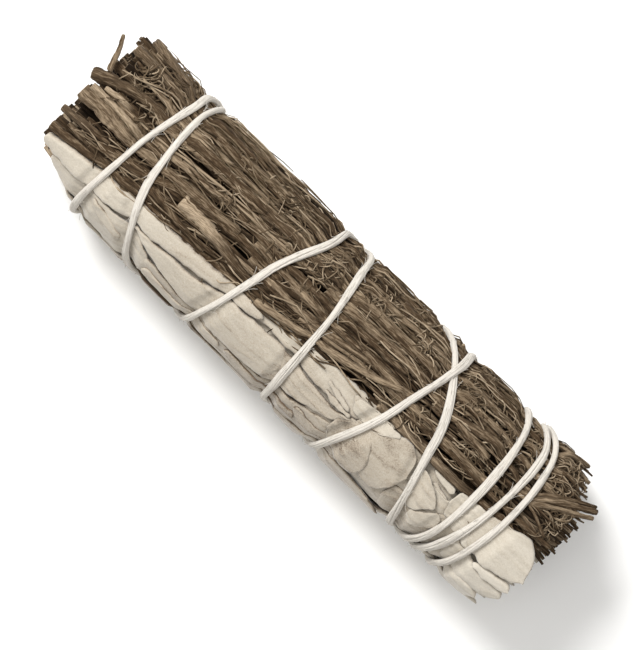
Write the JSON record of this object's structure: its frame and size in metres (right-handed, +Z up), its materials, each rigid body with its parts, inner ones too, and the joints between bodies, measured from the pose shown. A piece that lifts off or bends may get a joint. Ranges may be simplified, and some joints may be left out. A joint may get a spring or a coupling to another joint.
{
  "type": "sage bunch",
  "caption": "Small dried herb bunch, half dark woody sprigs and half broad pale sage leaves, tied along its length with one criss-crossed cotton string.",
  "frame": {"origin": "on the table under the middle of the bunch, at the bottom centre of its bounding box", "axes": "+X along the bunch from the cut stem ends to the leaf tips, +Y towards the dark herb, +Z up from the table"},
  "size_m": [0.1039, 0.0284, 0.0238],
  "materials": {
    "bark": "dry matte bark with curled dry needle leaves",
    "sage_leaf": "soft velvety matte leaf",
    "cotton": "soft matte fibre"
  },
  "bodies": {
    "root": {"dark_sprig_1": "bark", "dark_sprig_2": "bark", "dark_sprig_3": "bark", "dark_sprig_4": "bark", "dark_sprig_5": "bark", "dark_sprig_6": "bark", "dark_inner_sprig_1": "bark", "dark_inner_sprig_2": "bark", "dark_inner_sprig_3": "bark", "sage_sprig_1": "sage_leaf", "sage_sprig_2": "sage_leaf", "sage_sprig_3": "sage_leaf", "sage_sprig_4": "sage_leaf", "sage_sprig_5": "sage_leaf", "sage_inner_sprig_1": "sage_leaf", "sage_inner_sprig_2": "sage_leaf", "cotton_string": "cotton"}
  },
  "joints": []
}
